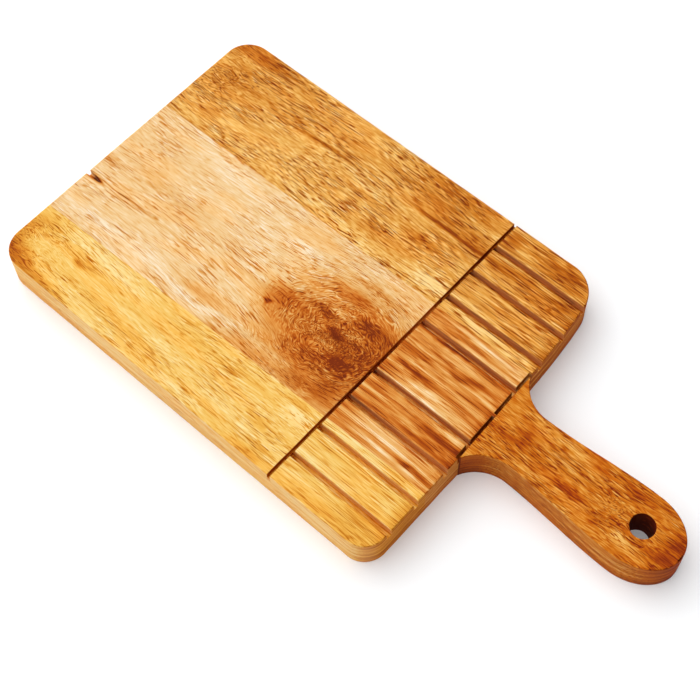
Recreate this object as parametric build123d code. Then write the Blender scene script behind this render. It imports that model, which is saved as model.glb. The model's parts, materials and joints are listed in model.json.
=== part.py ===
from build123d import *
import math
import os

# Serving board of three edge-glued staves with a paddle handle doweled to its end.
# Sizes are in millimetres. +X runs along the grain towards the handle, +Y across the
# board and +Z up. The underside lies on Z = 0, and the origin is under the middle of
# the whole length and width.

# Board
body_length = 244.8
board_width = 180.0
thickness = 20.0
far_corner_radius = 14.0
left_shoulder_radius = 12.0
right_shoulder_radius = 15.0
right_shoulder_drop = 7.8
shoulder_bow = 1.2
soft_edge = 0.8

# Staves, left and right as seen with the handle pointing away
right_stave_width = 61.7
left_stave_far_width = 35.5
left_stave_shoulder_width = 40.2

# Grooves sawn across and along the top
cross_kerf_from_far_end = 185.0
cross_kerf_width = 2.0
cross_kerf_depth = 3.0
groove_pitch = 18.4
groove_width = 3.2
groove_depth = 5.0
groove_floor_radius = 0.7
groove_drift = 2.0
groove_shift = -0.9

# Check in the far end of the middle stave
check_from_right_edge = 118.0
check_length = 10.0
check_mouth = 3.0
check_depth = 4.0

# Handle
handle_length = 104.2
handle_shift = 0.6
root_half_width = 27.4
root_shift = 1.2
root_skew = 1.6
root_radius = 21.0
neck_half_width = 15.0
swell_half_width = 18.4
tip_length = 24.7
hanging_hole_diameter = 12.0
hanging_hole_from_tip = 22.0
hanging_hole_shift = 1.4
hanging_hole_rim = 0.5

# Kerf over the joint between board and handle
root_kerf_width = 2.0
root_kerf_depth = 4.4
root_kerf_overrun = 0.8
root_kerf_web = 1.4

# Dowels that hold the handle
dowel_diameter = 8.0
dowel_length = 40.0
dowel_side_wood = 3.4
dowel_glue_gap = 0.05
dowel_end_room = 0.5
dowel_chamfer = 0.8

# Places that follow from the sizes above
overall_length = body_length + handle_length
half_width = board_width / 2
far_x = -overall_length / 2
shoulder_x = far_x + body_length
tip_x = far_x + overall_length
right_glue_y = half_width - right_stave_width
left_glue_far_y = left_stave_far_width - half_width
left_glue_shoulder_y = left_stave_shoulder_width - half_width
cross_kerf_x = far_x + cross_kerf_from_far_end

# The butt joint runs between these two corners, a little askew
root_left = (shoulder_x, root_shift - root_half_width)
root_right = (shoulder_x - root_skew, root_shift + root_half_width)
joint_angle = math.degrees(math.atan2(root_right[1] - root_left[1], root_right[0] - root_left[0]))
joint_run = math.dist(root_left, root_right)
joint_middle = ((root_left[0] + root_right[0]) / 2, (root_left[1] + root_right[1]) / 2)

# Room that a cutting solid takes beyond the wood
spare = 10.0


def prism(corners, low=-spare):
    """A straight-sided cutting block over a plan, from a height to above the board."""
    plan = make_face(Polyline(*corners, close=True))
    return Pos(0, 0, low) * extrude(plan, thickness + spare - low)


def board_plan():
    """The board without its handle, seen from above, with rounded corners."""
    right_shoulder = (shoulder_x - right_shoulder_drop, half_width)
    bow_middle = (
        (root_right[0] + right_shoulder[0]) / 2 + shoulder_bow,
        (root_right[1] + right_shoulder[1]) / 2,
    )
    left_shoulder = (shoulder_x, -half_width)
    edges = [
        Line((far_x, -half_width), (far_x, half_width)),
        Line((far_x, half_width), right_shoulder),
        ThreePointArc(right_shoulder, bow_middle, root_right),
        Line(root_right, root_left),
        Line(root_left, left_shoulder),
        Line(left_shoulder, (far_x, -half_width)),
    ]
    plan = make_face(Wire(edges))
    for corner, radius in (
        ((far_x, -half_width), far_corner_radius),
        ((far_x, half_width), far_corner_radius),
        (right_shoulder, right_shoulder_radius),
        (left_shoulder, left_shoulder_radius),
    ):
        nearest = plan.vertices().sort_by_distance((corner[0], corner[1], 0))[0]
        plan = fillet(nearest, radius)
    return plan


def handle_side(root, side):
    """One flank of the handle: root curve, neck and swell. side is 1 or -1."""
    rise = side * (root[1] - handle_shift) - neck_half_width
    root_reach = math.sqrt(2 * root_radius * rise - rise**2)
    neck = (root[0] + root_reach, handle_shift + side * neck_half_width)
    swell = (tip_x - tip_length, handle_shift + side * swell_half_width)
    centre = (neck[0], neck[1] + side * root_radius)
    half_turn = math.asin(root_reach / root_radius) / 2
    middle = (
        centre[0] - root_radius * math.sin(half_turn),
        centre[1] - side * root_radius * math.cos(half_turn),
    )
    return [ThreePointArc(root, middle, neck), Spline(neck, swell, tangents=[(1, 0), (1, 0)])]


def handle_plan():
    """The handle seen from above, from the butt joint to its rounded tip."""
    tip_centre = (tip_x - tip_length, handle_shift)
    tip = EllipticalCenterArc(tip_centre, tip_length, swell_half_width, -90, arc_size=180)
    sides = handle_side(root_left, -1) + handle_side(root_right, 1)
    return make_face(Wire([*sides, tip, Line(root_right, root_left)]))


def softened(plan):
    """A plan raised to the board's thickness, with its top and bottom edges rounded."""
    solid = extrude(plan, thickness)
    rims = solid.edges().group_by(Axis.Z)
    return fillet(rims[0] + rims[-1], soft_edge)


def groove_places():
    """Y of each groove along the board. None runs down the middle."""
    count = math.floor(half_width / groove_pitch)
    places = []
    for number in range(1, count + 1):
        drift = groove_drift if number <= 2 else 0.0
        places.append(groove_shift - number * groove_pitch + drift)
        places.append(groove_shift + number * groove_pitch)
    return sorted(places)


def grooves():
    """Cutters for the grooves, from the cross kerf out through the shoulder."""
    run = shoulder_x + spare - cross_kerf_x
    profile = RectangleRounded(groove_width, 2 * groove_depth, groove_floor_radius)
    cutter = extrude(Plane.YZ * profile, run)
    return [Pos(cross_kerf_x, y, thickness) * cutter for y in groove_places()]


def cross_kerf():
    """Cutter for the kerf across the whole width."""
    return Pos(cross_kerf_x, 0, thickness) * Box(
        cross_kerf_width, board_width + 2 * spare, 2 * cross_kerf_depth
    )


def root_kerf():
    """Cutters for the kerf over the butt joint, in two runs with a web between."""
    run = (joint_run - root_kerf_web) / 2 + root_kerf_overrun
    block = Box(run, root_kerf_width + spare, 2 * root_kerf_depth)
    over_joint = Location((joint_middle[0], joint_middle[1], thickness), (0, 0, joint_angle))
    offset = (root_kerf_web + run) / 2
    return [over_joint * Pos(x, (root_kerf_width - spare) / 2, 0) * block for x in (-offset, offset)]


def end_check():
    """Cutter for the drying check, a wedge that closes inwards from the far end."""
    y = half_width - check_from_right_edge
    low_x = far_x - spare
    flare = check_mouth / 2 * (check_length + spare) / check_length
    corners = [(low_x, y - flare), (far_x + check_length, y), (low_x, y + flare)]
    return prism(corners, low=thickness - check_depth)


def dowel_places():
    """Centres of the dowels, on the joint plane, midway between underside and groove floors."""
    lean = (root_right[0] - root_left[0]) / (root_right[1] - root_left[1])
    height = (thickness - groove_depth) / 2
    spread = neck_half_width - dowel_side_wood - dowel_diameter / 2
    for offset in (-spread, spread):
        yield joint_middle[0] + offset * lean, joint_middle[1] + offset, height


def lying_cylinder(radius, length):
    """A cylinder along X, centred on the origin."""
    return Rot(0, 90, 0) * Cylinder(radius, length)


def dowel_holes():
    """Cutters for the blind dowel holes in board and handle."""
    radius = dowel_diameter / 2 + dowel_glue_gap
    cutter = lying_cylinder(radius, dowel_length + 2 * dowel_end_room)
    return [Pos(*place) * cutter for place in dowel_places()]


def dowels():
    """The two dowels, with chamfered ends."""
    peg = lying_cylinder(dowel_diameter / 2, dowel_length)
    peg = chamfer(peg.edges().filter_by(GeomType.CIRCLE), dowel_chamfer)
    return Compound([Pos(*place) * peg for place in dowel_places()])


def hanging_hole(solid):
    """The handle with its hanging hole, the rims softened."""
    x = tip_x - hanging_hole_from_tip
    y = handle_shift + hanging_hole_shift
    radius = hanging_hole_diameter / 2
    solid = solid - Pos(x, y, thickness / 2) * Cylinder(radius, thickness + 2 * spare)
    rims = solid.edges().filter_by(GeomType.CIRCLE)
    rims = rims.filter_by(lambda rim: abs(rim.radius - radius) < 0.001 and rim.is_closed)
    return fillet(rims, hanging_hole_rim)


def left_region():
    """The space left of the left glue line, which runs a little askew."""
    lean = (left_glue_shoulder_y - left_glue_far_y) / body_length
    low_x = far_x - spare
    high_x = shoulder_x + spare
    return prism(
        [
            (low_x, left_glue_far_y - spare * lean),
            (low_x, -half_width - spare),
            (high_x, -half_width - spare),
            (high_x, left_glue_shoulder_y + spare * lean),
        ]
    )


def right_region():
    """The space right of the right glue line."""
    low_x = far_x - spare
    high_x = shoulder_x + spare
    top = half_width + spare
    return prism([(low_x, right_glue_y), (high_x, right_glue_y), (high_x, top), (low_x, top)])


left_of_glue = left_region()
right_of_glue = right_region()

body = softened(board_plan())
for cutter in [cross_kerf(), end_check(), *grooves(), *root_kerf()]:
    body = body - cutter

left_stave = body & left_of_glue
right_stave = body & right_of_glue
centre_stave = body - left_of_glue - right_of_glue
handle = hanging_hole(softened(handle_plan()))
for cutter in dowel_holes():
    centre_stave = centre_stave - cutter
    handle = handle - cutter

nodes = {
    "left_stave": left_stave,
    "centre_stave": centre_stave,
    "right_stave": right_stave,
    "handle": handle,
    "handle_dowels": dowels(),
}

os.makedirs("parts", exist_ok=True)
for name, shape in nodes.items():
    export_step(shape, f"parts/{name}.step")
    print(name, len(shape.solids()), round(shape.volume), "mm3")
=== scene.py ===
import functools
import json
import math

import bmesh
import bpy
from mathutils import Matrix, Vector

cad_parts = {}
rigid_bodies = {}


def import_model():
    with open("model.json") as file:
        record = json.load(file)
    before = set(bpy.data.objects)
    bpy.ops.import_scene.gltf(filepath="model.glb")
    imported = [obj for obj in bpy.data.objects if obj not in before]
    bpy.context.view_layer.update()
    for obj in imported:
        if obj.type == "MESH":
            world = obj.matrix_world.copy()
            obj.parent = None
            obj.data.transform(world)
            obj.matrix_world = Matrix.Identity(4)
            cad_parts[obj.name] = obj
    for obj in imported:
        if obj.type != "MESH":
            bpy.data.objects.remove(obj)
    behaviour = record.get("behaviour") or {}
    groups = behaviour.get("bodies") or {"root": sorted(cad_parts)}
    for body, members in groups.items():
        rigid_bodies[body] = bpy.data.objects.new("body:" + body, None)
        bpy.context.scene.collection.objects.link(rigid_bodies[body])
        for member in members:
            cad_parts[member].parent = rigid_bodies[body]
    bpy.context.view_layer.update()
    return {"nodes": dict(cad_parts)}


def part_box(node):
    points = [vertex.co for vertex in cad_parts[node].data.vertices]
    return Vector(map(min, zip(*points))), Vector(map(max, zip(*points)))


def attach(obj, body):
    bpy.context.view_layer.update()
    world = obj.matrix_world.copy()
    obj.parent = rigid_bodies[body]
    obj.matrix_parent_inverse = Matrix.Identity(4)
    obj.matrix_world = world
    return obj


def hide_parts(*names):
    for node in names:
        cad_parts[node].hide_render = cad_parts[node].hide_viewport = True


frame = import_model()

bl_info = {
    "name": "Serving board",
    "version": (1, 0, 0),
    "blender": (4, 5, 0),
    "location": "View3D > Sidebar > Board",
    "description": "Dresses a wooden serving board: staves, grooves, handle, oiled wood and studio",
    "category": "Object",
}

MM = 0.001
HANDLE_LOW, HANDLE_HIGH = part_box("handle")
BOARD_LOW, BOARD_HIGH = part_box("left_stave")
RIGHT_LOW, RIGHT_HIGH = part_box("right_stave")

# The photograph's camera: place in metres, turn in degrees, reach and picture side in pixels
CAMERA_PLACE = (0.2223, -0.2529, 0.6259)
CAMERA_TURN = (28.343, 1.171, 41.713)
CAMERA_REACH = 1451.4
PHOTO_SIDE = 700
SENSOR = 36.0

# The studio: a glow that fades away from its heading, and one soft window
GLOW_FROM = (-0.62, -0.16, 0.77)
GLOW_LEAST = 0.15
GLOW_MOST = 1.85
FLOOR_SIDE = 6.0
FLOOR_GLOW = 0.12
WINDOW_PLACE = (-1.3, 0.1, 1.1)
WINDOW_SIDE = 1.2
WINDOW_POWER = 5.0

# What the studio does to a colour that lies face up: it is lit, and gets a little sheen
LIGHT_ON_TOP = 1.145
SHEEN_ON_TOP = 0.009

# Places on the board in mm, along it from the far end
KERF_U = 185.0
HOLE_FROM_TIP = 22.0
HANDLE_LINE = 0.6
HOLE_SHIFT = 1.4
TOP_Z = BOARD_HIGH.z / MM
BOARD_END = (BOARD_HIGH.x - BOARD_LOW.x) / MM
JOINT_Y = (HANDLE_LOW.y + HANDLE_HIGH.y) / 2 / MM
JOINT_HALF = (HANDLE_HIGH.y - HANDLE_LOW.y) / 2 / MM
BORE_PLACE = ((HANDLE_HIGH.x - BOARD_LOW.x) / MM - HOLE_FROM_TIP, HANDLE_LINE + HOLE_SHIFT)
BORE_REACH = 7.0

# Making the meshes: slices that let a surface waver, and how cutters reach past the wood
SLICE = 3 * MM
BODY_SLICE = 4 * MM
SIDE_SLICE = 5 * MM
PAST_WOOD = 3 * MM
SIDE_ROOM = 10 * MM
MERGE_REACH = 0.004 * MM
SAME_PLACE = 0.02 * MM
WAVER_ALONG = 14 * MM
WAVER_ACROSS = 11 * MM
GROOVE_OVERLAP = 0.4 * MM
GROOVE_RUN_OUT = 6 * MM
GROOVE_FLARE = 0.5 * MM
GROOVE_FLARE_DEPTH = 0.35 * MM
KERF_FLARE = 0.2 * MM
KERF_FLARE_DEPTH = 0.3 * MM
ROOT_KERF_OVERRUN = 0.8 * MM
ROOT_KERF_OPEN = 4 * MM
RIM_SEGMENTS = 4
BOW_SHARES = (0.0, 0.15, 0.3, 0.45, 0.6, 0.72)
DRIFTED_GROOVES = 2
CHECK_STEPS = 8
CHECK_TAPER = 1.4
CHECK_RISE = 0.8
CHECK_SWING = 5
CHECK_SPARE = 2 * MM
CHECK_LEAST_HALF = 0.1 * MM
CHECK_SWAY = 0.5 * MM

# The handle's outline: steps along its root curve, its flank and its tip
ROOT_STEPS = 16
FLANK_STEPS = 14
TIP_STEPS = 22
TIP_STEP_TURN = 3.9
TIP_TRIM = 0.1 * MM
CORNER_SEGMENTS = 14
HOLE_SIDES = 72

# Brightness levels run from 0 to 255, as on a screen. A ramp spans the first two.
DARKEST = 50
BRIGHTEST = 240
LEAST_LEVEL = 66
CHANNEL_WEIGHTS = (0.2126, 0.7152, 0.0722)

# Grain: how far blots reach along X, Y and Z in mm, or along and across the grain
FIBRE_GRAINS = ((4.2, 0.46), (7.5, 0.85), (15, 2.1), (55, 4.4), (85, 9.5))
PORE_FIELD = (26, 11, 11)
LEAST_PORES = 0.4
WEAR_GRAIN = (3, 1.5, 1.5)
BLUSH_GRAIN = (34, 9, 9)
FOOT_GRAIN = (30, 6, 6)
VEIN_GRAIN = (36, 2.6, 2.6)
VEIN_BREAKS = (13, 1.9, 1.9)
VEIN_HALF_WIDTH = 0.03
VEIN_SHARE = -0.6
SAWN_BAND_GRAIN = (55, 2.6, 2.6)

# Vessels: length and width in mm, shift of the pattern, and share of the piece's strength
VESSELS = ((12.0, 0.45, 0.0, -1.0), (5.0, 0.4, 37.0, -0.8), (6.0, 0.6, 91.0, 0.3))
VESSEL_LEAST = 0.63
VESSEL_SOFT = 0.05

# Noise that changes the brightness: its grain, and its strength in levels
BROAD_LAYERS = ((26, 26, 1.5), 50.0)
THIN_LAYERS = ((9, 9, 0.8), 40.0)
SHEETS = ((60, 60, 1.5), 110.0)
GROOVE_SPECKS = ((5, 0.9, 0.9), 80.0)

# Soft waves that push the grain about: their grain, and how far they push in mm
DRIFT_ALONG = 0.3
LONG_SWAY = ((90, 34, 34), 8.0)
SHORT_SWAY = ((34, 9, 9), 1.2)
HAIR_SWAY = ((7, 2.6, 2.6), 0.25)
CURL = ((9, 5, 5), 5.0)
SAWN_SWAY = ((60, 20, 20), 4.0)
CRACK_SWAY = ((18, 6, 6), 1.8)
RING_SWAY = ((11, 6, 6), 6.0)
RING_RUFFLE = ((4, 3, 3), 2.2)
BLOT_SWAY = ((16, 9, 9), 6.0)
BLOT_RUFFLE = ((5, 4, 4), 3.0)

# The knot: how the grain gives way to it, and its rings
KNOT_PULL = 0.7
KNOT_CORE = 0.5
KNOT_TURN = 20.0
KNOT_RIM_GRAIN = (14, 9, 9)
KNOT_RIM_RAGGED = 2.4
RING_SHORTEN = 1.5

# Beyond the cross kerf
SAWN_STRETCH = 0.5
SAWN_PORES = 0.85

# Changes of brightness, in levels
# End grain is darker than the top; on the shoulder ends, which face away from the light, the darkening is
# also painted shade
END_GRAIN_AND_SHADE = 58
END_SHARE = 0.75
# A darker foot near the floor on every side: painted shade
FOOT_SHADE = -22.0
FOOT_RAGGED = 4.0
PATCH_FADE = 0.7
# Painted light and shade in the cuts: a little painted light on the groove floors (the first is below 0,
# as it is taken off), painted shade on the far walls, the near lips, the groove starts, the floor corners
# and in the kerfs, and a painted highlight on the far lips
GROOVE_SHADE = -6
WALL_SHADE = 24
NEAR_LIP_SHADE = 26
FAR_LIP_HIGHLIGHT = 10
PIT_SHADE = 40
CORNER_SHADE = 26
KERF_SHADE = 50
# Painted shade inside the hanging hole, and on the handle's butt face where the root kerf lays it open
BORE_SHADE = 110
END_WEAR = 0.6
# How much darker the upper edges are away from rubbed places, from least to most as they turn to face +X:
# chips, and painted shade on the edges away from the light
CHIP_AND_SHADE_CHANGES = (8.0, 34.0)
ARRIS_TURN = (0.2, 0.5)

# Masks: where one starts and where it is full. First by a part of the face's normal.
UPRIGHT_RANGE = (0.8, 0.35)
ENDWISE_RANGE = (0.2, 0.8)
LEVEL_RANGE = (0.6, 0.8)
ARRIS_RANGES = ((0.98, 0.85), (0.2, 0.45))
WALL_RANGE = (-0.3, -0.7)
NEAR_SIDE_RANGE = (-0.1, -0.75)
HANDLE_END_RANGE = (0.0, 0.5)

# By noise
WORN_RANGE = (0.40, 0.56)
BLUSH_RANGE = (0.48, 0.64)
PORE_RANGE = (0.3, 0.6)
VEIN_RANGE = (0.42, 0.58)
KNOT_RANGE = (1.5, 0.5)
BORE_RANGE = (0.02, 0.06)

# By depth below the top, and by height, in mm
SAWN_DEPTHS = (6.5, 3.5)
CRACK_DEPTHS = (7.0, 5.0)
IN_CUT_DEPTHS = (0.25, 0.6)
OVER_FLOOR_DEPTHS = (5.6, 5.3)
CORNER_DEPTHS = (4.0, 4.6)
FOOT_HEIGHTS = (9.5, 7.0)

# By how far a place is past the cross kerf or the butt joint, in mm
PAST_KERF = (-1.0, 1.0)
FROM_KERF = (-1.5, -1.3)
LIP_START = (0.0, 2.0)
FROM_JOINT_KERF = (-2.9, -2.5)
BUTT_FACE = (0.5, 0.3)
KERF_HALF = 1.0
PIT_PAST_KERF = 1.6
PIT_SOFT = 0.6

# Lines along a groove: offset from its middle, half width and softness, in mm
GROOVE_REACH = 1.7
NEAR_LIP = (-1.9, 0.25, 0.2)
FAR_LIP = (1.95, 0.3, 0.3)
FLOOR_CORNER = (1.2, 0.3, 0.2)
GROOVE_START = (0.0, 1.0, 0.6)

# Finish
BLUSH = 0.5
# How far the sides facing -Y turn to their paler, greyer colour: partly side grain, partly a painted sheen
ASH_AND_SHEEN_SHARE = 0.4
RELIEF = 0.09 * MM
SPECULAR = 0.05
GLOSS_RANGE = (0.55, 0.42)
UPRIGHT_DULLER = 0.2


def linear(shade):
    """The surface colour that the studio turns into a screen colour, 0 to 255 a channel."""
    screen = (channel / 255 for channel in shade)
    seen = (c / 12.92 if c <= 0.04045 else ((c + 0.055) / 1.055) ** 2.4 for c in screen)
    return tuple(min(0.97, max(0.002, (c - SHEEN_ON_TOP) / LIGHT_ON_TOP)) for c in seen)


def length(name, description, default):
    """A size that a user can change, in metres."""
    return bpy.props.FloatProperty(
        name=name, description=description, default=default, unit="LENGTH", precision=5
    )


def colour(name, description, default):
    """A colour that a user can change, in linear light."""
    return bpy.props.FloatVectorProperty(
        name=name, description=description, default=default, subtype="COLOR", size=3, min=0, max=2
    )


class BoardSizes(bpy.types.PropertyGroup):
    """Sizes of the board and of what is cut into it."""

    far_x: length("Far end", "X of the end away from the handle", BOARD_LOW.x)
    shoulder_x: length("Shoulder", "X of the end that carries the handle", BOARD_HIGH.x)
    half_width: length("Half width", "From the middle line to a long side", RIGHT_HIGH.y)
    thickness: length("Thickness", "Height of the board", BOARD_HIGH.z)
    far_corner: length("Far corner", "Radius of the two far corners", 14 * MM)
    left_corner: length("Left shoulder corner", "Radius of the one left of the handle", 12 * MM)
    right_corner: length("Right shoulder corner", "Radius of the one right of the handle", 15 * MM)
    right_drop: length("Right shoulder drop", "How far the right shoulder falls back", 7.8 * MM)
    shoulder_bow: length("Shoulder bow", "How far the right shoulder line bows out", 1.2 * MM)
    soft_edge: length("Soft edge", "Radius of the sanded edges", 0.7 * MM)
    hand_work: length("Hand work", "How far the surfaces stray from true", 0.3 * MM)
    right_glue_y: length("Right glue line", "Y of the glue line", RIGHT_LOW.y)
    left_glue_far_y: length("Left glue line, far", "Y of it at the far end", -54.5 * MM)
    left_glue_near_y: length("Left glue line, near", "Y of it at the shoulder", BOARD_HIGH.y)
    kerf_from_far: length("Cross kerf", "From the far end to the cross kerf", KERF_U * MM)
    kerf_width: length("Kerf width", "Width of the saw kerfs", 1.7 * MM)
    kerf_depth: length("Kerf depth", "Depth of the cross kerf", 3 * MM)
    groove_pitch: length("Groove pitch", "Spacing of the long grooves", 18.4 * MM)
    groove_width: length("Groove width", "Width of the long grooves", 3.2 * MM)
    groove_depth: length("Groove depth", "Depth of the long grooves", 5 * MM)
    groove_floor: length("Groove floor", "Radius along the grooves' floors", 0.7 * MM)
    groove_drift: length("Groove drift", "Shift of the two grooves left of the middle", 2 * MM)
    groove_shift: length("Groove shift", "Shift of all long grooves", -0.9 * MM)
    check_y: length("Check", "Y of the drying check in the far end", -28 * MM)
    check_length: length("Check length", "How far the check runs in", 10 * MM)
    check_mouth: length("Check mouth", "Width of the check at the far end", 3 * MM)
    check_depth: length("Check depth", "Depth of the check at the far end", 4 * MM)
    root_half_width: length("Root", "Half the handle's width at the board", JOINT_HALF * MM)
    root_y: length("Root line", "Y of the root's middle", JOINT_Y * MM)
    root_skew: length("Root skew", "How far the joint runs out of square", 1.6 * MM)
    root_radius: length("Root curve", "Radius between root and neck", 21 * MM)
    neck_half_width: length("Neck", "Half the handle's least width", 15 * MM)
    swell_half_width: length("Swell", "Half the handle's width near its tip", 18.4 * MM)
    tip_length: length("Tip", "Length of the rounded tip", 24.7 * MM)
    handle_y: length("Handle line", "Y of the handle's middle line", HANDLE_LINE * MM)
    tip_x: length("Handle tip", "X of the handle's tip", HANDLE_HIGH.x)
    hole_radius: length("Hanging hole", "Radius of the hanging hole", 6 * MM)
    hole_from_tip: length("Hole place", "From the tip to the hole's middle", HOLE_FROM_TIP * MM)
    hole_shift: length("Hole shift", "From the handle's middle line to the hole", HOLE_SHIFT * MM)
    hole_rim: length("Hole rim", "Radius of the hanging hole's rims", 0.5 * MM)
    root_kerf_depth: length("Root kerf depth", "Depth of the kerf over the joint", 4.4 * MM)
    root_kerf_web: length("Root kerf web", "Wood left across the kerf over the joint", 1.4 * MM)


class BoardColours(bpy.types.PropertyGroup):
    """Colours of the floor and of the wood off its oiled top, in linear light: the sawn tint, which also
    paints a warm bounce of light in the cuts, and the near sides' paler colour, which is partly a painted
    sheen.
    """

    floor: colour("Floor", "Colour of the studio floor", (0.86, 0.872, 0.885))
    # Also warms the ends facing +X and random blushes, and in the grooves and kerfs it paints a warm
    # bounce of light
    sawn: colour("Sawn wood", "Multiplies the wood's colour where it was sawn", (1.05, 0.9, 0.65))
    # The near sides' paler, greyer colours: partly their side grain, partly a painted sheen
    stave_side: colour("Stave sides", "What the staves' near sides turn towards", linear((240, 178, 118)))
    handle_side: colour("Handle side", "What the handle's near side turns towards", linear((182, 106, 50)))


def deselect_all():
    """Leaves nothing selected, whatever was loaded or made before."""
    for thing in bpy.context.view_layer.objects:
        thing.select_set(False)


def activate(piece):
    """Makes one piece the only selected one."""
    deselect_all()
    piece.select_set(True)
    bpy.context.view_layer.objects.active = piece


def settle(piece, name):
    """Names a fresh primitive and puts its place and size into its mesh."""
    piece.name = name
    piece.data.name = name
    activate(piece)
    bpy.ops.object.transform_apply(location=True, rotation=True, scale=True)
    return piece


def block(name, low, high):
    """A box between two corners, as a start for other shapes."""
    deselect_all()
    middle = [(a + b) / 2 for a, b in zip(low, high)]
    spans = [b - a for a, b in zip(low, high)]
    bpy.ops.mesh.primitive_cube_add(size=1, location=middle, scale=spans)
    return settle(bpy.context.object, name)


def edit(piece):
    """Opens a piece's mesh for editing."""
    activate(piece)
    bpy.ops.object.mode_set(mode="EDIT")
    bpy.ops.mesh.select_mode(type="VERT")
    bpy.ops.mesh.select_all(action="DESELECT")


def done():
    """Closes the mesh that is being edited."""
    bpy.ops.object.mode_set(mode="OBJECT")


def pick(piece, kind, test):
    """In edit mode, selects only the verts, edges or faces that pass a test."""
    bpy.ops.mesh.select_all(action="DESELECT")
    bpy.ops.mesh.select_mode(type={"verts": "VERT", "edges": "EDGE", "faces": "FACE"}[kind])
    shape = bmesh.from_edit_mesh(piece.data)
    for item in getattr(shape, kind):
        item.select_set(bool(test(item)))
    shape.select_flush_mode()
    bmesh.update_edit_mesh(piece.data)


def near(a, b, reach=SAME_PLACE):
    """Whether two lengths are the same to a hair."""
    return abs(a - b) < reach


def bisect(place, direction, **settings):
    """Cuts the whole mesh along a plane."""
    bpy.ops.mesh.select_all(action="SELECT")
    bpy.ops.mesh.bisect(plane_co=place, plane_no=direction, **settings)


def slice_evenly(axis, low, high, step):
    """Cuts the whole mesh in even slices, so that its sides can waver."""
    count = max(2, round((high - low) / step))
    direction = [1.0 if i == axis else 0.0 for i in range(3)]
    for number in range(1, count):
        place = [0.0, 0.0, 0.0]
        place[axis] = low + (high - low) * number / count
        bisect(place, direction)


def soften_rims(piece, radius, crisp, segments=RIM_SEGMENTS):
    """Rounds the edges between the level faces and the upright ones, but for the crisp faces."""

    def is_rim(edge):
        if len(edge.link_faces) != 2 or any(crisp(face) for face in edge.link_faces):
            return False
        slopes = sorted(abs(face.normal.z) for face in edge.link_faces)
        return slopes[0] < 0.3 and slopes[1] > 0.9

    pick(piece, "edges", is_rim)
    bpy.ops.mesh.bevel(offset=radius, segments=segments, affect="EDGES", clamp_overlap=False)


def cut_away(piece, cutter):
    """Takes one solid out of another, and drops the cutter."""
    activate(piece)
    bpy.ops.object.modifier_add(type="BOOLEAN")
    change = piece.modifiers[-1]
    change.operation = "DIFFERENCE"
    change.solver = "EXACT"
    change.object = cutter
    bpy.ops.object.modifier_apply(modifier=change.name)
    bpy.data.objects.remove(cutter, do_unlink=True)


def waver(piece, axis, strength, scale):
    """Moves a mesh a little to and fro along one axis, as hand work does."""
    cloud = bpy.data.textures.new(f"waver_{axis}", type="CLOUDS")
    cloud.noise_scale = scale
    cloud.noise_depth = 1
    activate(piece)
    bpy.ops.object.modifier_add(type="DISPLACE")
    change = piece.modifiers[-1]
    change.texture = cloud
    change.texture_coords = "LOCAL"
    change.direction = axis
    change.mid_level = 0.5
    change.strength = strength
    bpy.ops.object.modifier_apply(modifier=change.name)


def finish_mesh(piece, angle=32):
    """Closes doubles, turns faces outwards and shades rounded edges smoothly."""
    edit(piece)
    bpy.ops.mesh.select_all(action="SELECT")
    bpy.ops.mesh.remove_doubles(threshold=MERGE_REACH)
    bpy.ops.mesh.normals_make_consistent(inside=False)
    done()
    bpy.ops.object.shade_smooth_by_angle(angle=math.radians(angle))
    bpy.ops.object.modifier_add(type="WEIGHTED_NORMAL")
    change = piece.modifiers[-1]
    change.keep_sharp = True
    bpy.ops.object.modifier_apply(modifier=change.name)


def joint_ends(s):
    """The left and right ends of the butt joint, seen from above."""
    return (
        Vector((s.shoulder_x, s.root_y - s.root_half_width)),
        Vector((s.shoulder_x - s.root_skew, s.root_y + s.root_half_width)),
    )


def groove_cutter(s, y):
    """A long round-cornered bar that cuts one groove, flared a hair at the surface."""
    start = s.far_x + s.kerf_from_far - GROOVE_OVERLAP
    low = (start, y - s.groove_width / 2, s.thickness - s.groove_depth)
    high = (s.shoulder_x + GROOVE_RUN_OUT, y + s.groove_width / 2, s.thickness)
    bar = block("groove_cutter", low, high)
    edit(bar)
    pick(
        bar,
        "edges",
        lambda e: all(near(v.co.z, low[2]) for v in e.verts) and near(e.verts[0].co.y, e.verts[1].co.y),
    )
    bpy.ops.mesh.bevel(offset=s.groove_floor, segments=RIM_SEGMENTS, affect="EDGES")
    bisect((0, 0, s.thickness - GROOVE_FLARE_DEPTH), (0, 0, 1))
    pick(bar, "faces", lambda f: f.normal.z > 0.9 and near(f.calc_center_median().z, s.thickness))
    flare = 1 + GROOVE_FLARE / s.groove_width
    bpy.ops.transform.resize(value=(1, flare, 1), center_override=(0, y, s.thickness))
    bpy.ops.mesh.extrude_region_move(TRANSFORM_OT_translate={"value": (0, 0, PAST_WOOD)})
    slice_evenly(0, start, high[0], SLICE)
    done()
    return bar


def kerf_cutter(name, middle, angle, run, width, depth, top):
    """A thin bar that cuts one saw kerf, flared a hair at the surface."""
    low = (-run / 2, -width / 2, top - depth)
    high = (run / 2, width / 2, top)
    bar = block(name, low, high)
    edit(bar)
    bisect((0, 0, top - KERF_FLARE_DEPTH), (0, 0, 1))
    pick(bar, "faces", lambda f: f.normal.z > 0.9 and near(f.calc_center_median().z, top))
    bpy.ops.transform.resize(value=(1, 1 + KERF_FLARE / width, 1), center_override=(0, 0, top))
    bpy.ops.mesh.extrude_region_move(TRANSFORM_OT_translate={"value": (0, 0, PAST_WOOD)})
    slice_evenly(0, low[0], high[0], SLICE)
    done()
    bar.matrix_world = Matrix.Translation((middle[0], middle[1], 0)) @ Matrix.Rotation(angle, 4, "Z")
    return settle(bar, name)


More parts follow.
